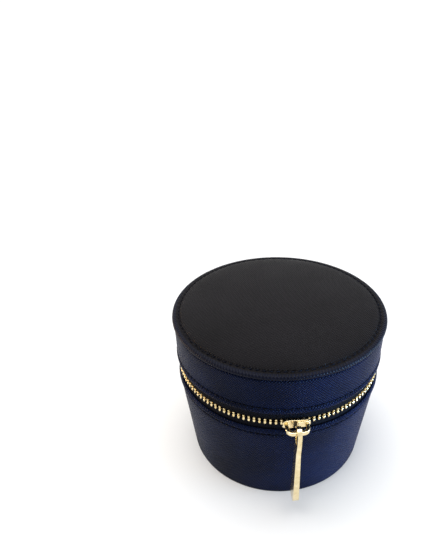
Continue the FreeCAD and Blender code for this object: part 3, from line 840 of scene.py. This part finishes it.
def pad_waves(angle, radius, height):
    return 0.0, math.sin(3 * angle + radius * 0.09) * math.cos(radius * 0.13)


floor_edge = tray_outside(TRAY_FOOT) - TRAY_WALL - 0.1
floor_pad = turned("tray_floor_cushion", pad_outline(floor_edge, TRAY_FOOT, PAD_TOP, 0.25, 1.0), steps=128)
dent(floor_pad, pad_waves, 0.04)
finish_piece(floor_pad, "base", VELVET, ["tray_floor_pad"])

LINING_OUTSIDE = 49.7
CEILING_LOW = 79.6
CEILING_HIGH = 82.0
ceiling_outline = [(radius, CEILING_LOW + CEILING_HIGH - height)
                   for radius, height in pad_outline(LINING_OUTSIDE, CEILING_LOW, CEILING_HIGH, 0.8, 0.8)]
ceiling = turned("lid_ceiling_cushion", ceiling_outline, steps=128)
dent(ceiling, pad_waves, 0.05)
finish_piece(ceiling, "lid", LINING, ["lid_ceiling_pad"])

lining_low, lining_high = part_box("lid_wall_lining")
low = lining_low.z / MM
high = lining_high.z / MM
lining_outline = [(LINING_OUTSIDE, low + 0.3), (LINING_OUTSIDE, high), (LINING_OUTSIDE - 0.7, high)]
lining_outline += [(LINING_OUTSIDE - 0.7, high - (high - low - 0.4) * i / 6) for i in range(1, 7)]
lining_outline += arc((LINING_OUTSIDE - 0.35, low + 0.4), 0.35, 200.0, 340.0, 6)
lining = turned("lid_wall_velvet", lining_outline, steps=256)
finish_piece(lining, "lid", LINING, ["lid_wall_lining"])

foam_low, foam_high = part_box("lid_foam")
foam_foot = foam_low.z / MM
foam_top = foam_high.z / MM - 0.1
foam_edge = foam_high.x / MM
foam_outline = [(0.0, foam_foot), (foam_edge, foam_foot)]
foam_outline += [(foam_edge * math.cos(math.radians(a)) ** 0.7,
                  foam_foot + 0.02 + (foam_top - foam_foot) * math.sin(math.radians(a)) ** 1.6)
                 for a in range(6, 90, 6)]
foam_outline += [(0.0, foam_top)]
foam_pad = turned("lid_foam_cushion", foam_outline, steps=96)
finish_piece(foam_pad, "lid", FOAM, ["lid_foam"])

# Slider and pull, modelled at the front and turned to their place

PLATE_BACK = 52.3
PLATE_FACE = 53.4
REAR_PLATE_BACK = 47.95
REAR_PLATE_FACE = 49.0
SLIDER_HALF_LENGTH = 6.6
SLIDER_TURN = Matrix.Rotation(math.radians(SLIDER_ANGLE), 4, "Z")


def extruded(name, outline, place, depth, holes=()):
    """A slab: place(u, v) puts an outline point in space, and depth is the way it is extruded."""
    slab = bmesh.new()
    edges = []
    for loop in (outline, *holes):
        corners = [slab.verts.new(Vector(place(u, v)) * MM) for u, v in loop]
        edges += [slab.edges.new((corners[i - 1], corners[i])) for i in range(len(corners))]
    bmesh.ops.triangle_fill(slab, edges=edges, use_beauty=True, use_dissolve=False)
    grown = bmesh.ops.extrude_face_region(slab, geom=slab.faces[:])["geom"]
    corners = [item for item in grown if isinstance(item, bmesh.types.BMVert)]
    bmesh.ops.translate(slab, vec=Vector(depth) * MM, verts=corners)
    mesh = bpy.data.meshes.new(name)
    slab.to_mesh(mesh)
    slab.free()
    piece = bpy.data.objects.new(name, mesh)
    bpy.context.scene.collection.objects.link(piece)
    merge_and_face_out(piece)
    return piece


def bevelled(piece, width):
    apply_modifier(piece, "BEVEL", width=width * MM, segments=3, limit_method="ANGLE",
                   angle_limit=math.radians(40))
    return piece


def facing_front(radius):
    """Puts a point drawn as seen from the front at this distance from the axis."""
    return lambda across, height: (across, -radius, ZIP_HEIGHT + height)


def joined(pieces):
    make_active(pieces[0])
    for piece in pieces:
        piece.select_set(True)
    bpy.ops.object.join()
    return pieces[0]


def turned_to_slider(piece):
    piece.data.transform(SLIDER_TURN)
    return piece


def rectangle(left, right, low, high):
    return [(left, low), (right, low), (right, high), (left, high)]


def make_slider():
    """Two shouldered plates round the rows, the post between them and a raised seat for the bridge."""
    half = SLIDER_HALF_LENGTH
    upper = [(half, 0.0), (half - 0.25, 1.2), (half - 1.4, 2.0), (0.0, 2.2), (-half / 2, 2.4),
             (-half + 1.2, 2.0), (-half + 0.2, 1.1)]
    lower = [(across, -height) for across, height in reversed(upper[1:])]
    plate = upper + [(-half + 0.6, 0.0)] + lower
    seat_outline = rectangle(0.3, half - 0.7, -1.5, 1.7)
    post_outline = rectangle(-half + 1.0, -half + 3.4, -0.13, 0.13)
    flange_outline = rectangle(-half / 2, half / 2, -2.2, -1.9)
    front_thickness = PLATE_BACK - PLATE_FACE
    rear_thickness = REAR_PLATE_BACK - REAR_PLATE_FACE
    post_length = REAR_PLATE_FACE - PLATE_BACK - 0.2
    front = extruded("slider_plates", plate, facing_front(PLATE_BACK), (0, front_thickness, 0))
    rear = extruded("rear", plate, facing_front(REAR_PLATE_BACK), (0, rear_thickness, 0))
    seat = extruded("seat", seat_outline, facing_front(PLATE_FACE - 0.2), (0, -0.95, 0))
    post = extruded("post", post_outline, facing_front(REAR_PLATE_FACE - 0.1), (0, post_length, 0))
    flange = extruded("flange", flange_outline, facing_front(PLATE_BACK - 0.5), (0, -0.6, 0))
    rounded = [bevelled(piece, width)
               for piece, width in ((front, 0.3), (rear, 0.25), (seat, 0.35), (flange, 0.06))]
    return turned_to_slider(joined([*rounded, post]))


def make_bridge():
    """A flat bar bent to a bow, both feet on the front plate."""
    half, reach, bar, corner, height = 5.5, 6.2, 1.7, 3.2, 2.0
    far = PLATE_FACE + reach
    outer = [(-half, PLATE_FACE - 0.1)]
    outer += arc((-half + corner, far - corner), corner, 180.0, 90.0, 10)
    outer += arc((half - corner, far - corner), corner, 90.0, 0.0, 10)
    outer += [(half, PLATE_FACE - 0.1), (half - bar, PLATE_FACE - 0.1)]
    inner = arc((half - corner, far - corner), corner - bar, 0.0, 90.0, 8)
    inner += arc((-half + corner, far - corner), corner - bar, 90.0, 180.0, 8)
    outline = outer + inner + [(-half + bar, PLATE_FACE - 0.1)]
    bow = extruded("slider_bow", outline, lambda across, radius: (across, -radius, ZIP_HEIGHT - height / 2),
                   (0, 0, height))
    return turned_to_slider(bevelled(bow, 0.42))


PULL_PIVOT = 58.75
PULL_LOW = 11.1
PULL_EYE_LOW = 51.9


def make_pull():
    """A long bar with an eye, wider and thicker towards its lower end."""
    eye, head, neck, half, corner, thick = 1.6, 3.2, 2.3, 3.25, 2.2, 2.0
    neck_height = PULL_EYE_LOW - head * 2
    outline = arc((PULL_PIVOT, ZIP_HEIGHT), head, 0.0, 180.0, 20)
    outline += [(PULL_PIVOT - head, PULL_EYE_LOW), (PULL_PIVOT - neck, neck_height)]
    outline += arc((PULL_PIVOT - half + corner, PULL_LOW + corner), corner, 180.0, 270.0, 8)
    outline += arc((PULL_PIVOT + half - corner, PULL_LOW + corner), corner, 270.0, 360.0, 8)
    outline += [(PULL_PIVOT + neck, neck_height), (PULL_PIVOT + head, PULL_EYE_LOW)]
    hole = arc((PULL_PIVOT, ZIP_HEIGHT), eye, 0.0, 180.0, 12)
    hole += arc((PULL_PIVOT, PULL_EYE_LOW), eye, 180.0, 360.0, 12)
    bar = extruded("pull_tongue", outline, lambda radius, height: (-thick / 2, -radius, height),
                   (thick, 0, 0), [hole])
    for vertex in bar.data.vertices:
        share = (PULL_EYE_LOW - vertex.co.z / MM) / (PULL_EYE_LOW - PULL_LOW)
        vertex.co.x *= 1.0 + 0.5 * min(max(share, 0.0), 1.0)
    return turned_to_slider(bevelled(bar, 0.4))


for piece, body, node in ((make_slider(), "slider", "slider_body"),
                          (make_bridge(), "slider", "slider_bridge"),
                          (make_pull(), "pull", "pull_bar")):
    finish_piece(piece, body, BRASS, [node], angle=40.0, flat_faces=True)
for node in ("base_foot_board", "base_wall_board", "tray_card", "divider_card", "lid_band_board",
             "lid_top_board"):
    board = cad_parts[node]
    board.data.materials.clear()
    board.data.materials.append(BOARD)

# Floor

FLOOR_RADIUS = 30000.0
FLOOR_GLOW = 0.2
FLOOR_COLOUR = (0.74, 0.74, 0.74, 1.0)


def seen_rays(tree):
    """1 for the rays that show the background: the camera's own and those off metal or through glass."""
    rays = tree.nodes.new("ShaderNodeLightPath")
    seen = math_node(tree, "ADD", rays.outputs["Is Camera Ray"], rays.outputs["Is Glossy Ray"], clamp=True)
    return math_node(tree, "ADD", seen, rays.outputs["Is Transmission Ray"], clamp=True)


floor_outline = [(0.0, 0.0), (300.0, 0.0), (FLOOR_RADIUS, 0.0)]
floor = turned("floor", floor_outline, steps=96, closed=False)
floor_material = bpy.data.materials.new("white_floor")
floor_material.use_nodes = True
floor_tree = floor_material.node_tree
floor_shader = floor_tree.nodes["Principled BSDF"]
floor_shader.inputs["Base Color"].default_value = FLOOR_COLOUR
floor_shader.inputs["Roughness"].default_value = 1.0
floor_shader.inputs["Specular IOR Level"].default_value = 0.0
floor_shader.inputs["Emission Color"].default_value = (1.0, 1.0, 1.0, 1.0)
glow = math_node(floor_tree, "MULTIPLY", seen_rays(floor_tree), FLOOR_GLOW)
floor_tree.links.new(glow, floor_shader.inputs["Emission Strength"])
floor.data.materials.append(floor_material)

# Light

WORLD_LIGHT = 0.12
SUN_LIGHT = 3.5
SUN_SPREAD = 52.0
SUN_DIRECTION = Vector((0.08, -0.08, -1.0))
LIT_MIDDLE = Vector((0, 0, 0.045))
world = bpy.context.scene.world or bpy.data.worlds.new("studio")
bpy.context.scene.world = world
world.use_nodes = True
sky = world.node_tree
backdrop = sky.nodes["Background"]
backdrop.inputs["Color"].default_value = (1.0, 1.0, 1.0, 1.0)
white_seen = math_node(sky, "MULTIPLY_ADD", seen_rays(sky), 1.0 - WORLD_LIGHT, WORLD_LIGHT)
sky.links.new(white_seen, backdrop.inputs["Strength"])


def area_light(name, place, size, power, colour):
    """A soft panel that faces the middle of the case."""
    lamp = bpy.data.lights.new(name, "AREA")
    lamp.shape = "RECTANGLE"
    lamp.size, lamp.size_y = size
    lamp.energy = power
    lamp.color = colour
    panel = bpy.data.objects.new(name, lamp)
    panel.location = place
    panel.visible_camera = False
    panel.rotation_euler = (LIT_MIDDLE - Vector(place)).to_track_quat("-Z", "Y").to_euler()
    bpy.context.scene.collection.objects.link(panel)


area_light("window_right", (1.8, 0.25, 0.1), (1.2, 0.16), 80.0, (0.34, 0.62, 1.0))
area_light("warm_left", (-1.8, 0.1, 0.1), (1.0, 0.2), 18.0, (1.0, 0.66, 0.38))
area_light("front_fill", (-0.2, -0.9, 1.0), (0.9, 0.9), 2.0, (1.0, 0.97, 0.93))
sun_data = bpy.data.lights.new("soft_sun", "SUN")
sun_data.energy = SUN_LIGHT
sun_data.angle = math.radians(SUN_SPREAD)
sun_data.color = (1.0, 0.98, 0.95)
sun = bpy.data.objects.new("soft_sun", sun_data)
sun.rotation_euler = SUN_DIRECTION.to_track_quat("-Z", "Y").to_euler()
bpy.context.scene.collection.objects.link(sun)

# Camera, at the photograph's viewing angle

FOCAL_PIXELS = 480.0
IMAGE_WIDTH = 428
IMAGE_HEIGHT = 552
CAMERA_TURN = 19.3
CAMERA_DROP = 35.6
CAMERA_ROLL = -1.0
CAMERA_DISTANCE = 265.3
CASE_MIDDLE = Vector((0, 0, 45.0))
CASE_PIXEL = (276.2, 366.9)
AXIS_PIXEL = (248.0, 323.0)
camera_data = bpy.data.cameras.new("camera")
camera_data.lens = FOCAL_PIXELS / IMAGE_HEIGHT * camera_data.sensor_width
camera_data.shift_x = (IMAGE_WIDTH / 2 - AXIS_PIXEL[0]) / IMAGE_HEIGHT
camera_data.shift_y = (AXIS_PIXEL[1] - IMAGE_HEIGHT / 2) / IMAGE_HEIGHT
camera = bpy.data.objects.new("camera", camera_data)
facing = (Matrix.Rotation(math.radians(CAMERA_TURN), 4, "Z")
          @ Matrix.Rotation(math.radians(90.0 - CAMERA_DROP), 4, "X"))
to_case = Vector((CASE_PIXEL[0] - AXIS_PIXEL[0], AXIS_PIXEL[1] - CASE_PIXEL[1], -FOCAL_PIXELS)).normalized()
stand = CASE_MIDDLE - CAMERA_DISTANCE * (facing.to_3x3() @ to_case)
camera.matrix_world = (Matrix.Translation(stand * MM) @ facing
                       @ Matrix.Rotation(math.radians(CAMERA_ROLL), 4, "Z"))
bpy.context.scene.collection.objects.link(camera)
bpy.context.scene.camera = camera
bpy.context.scene.view_settings.view_transform = "Standard"

deselect_all()
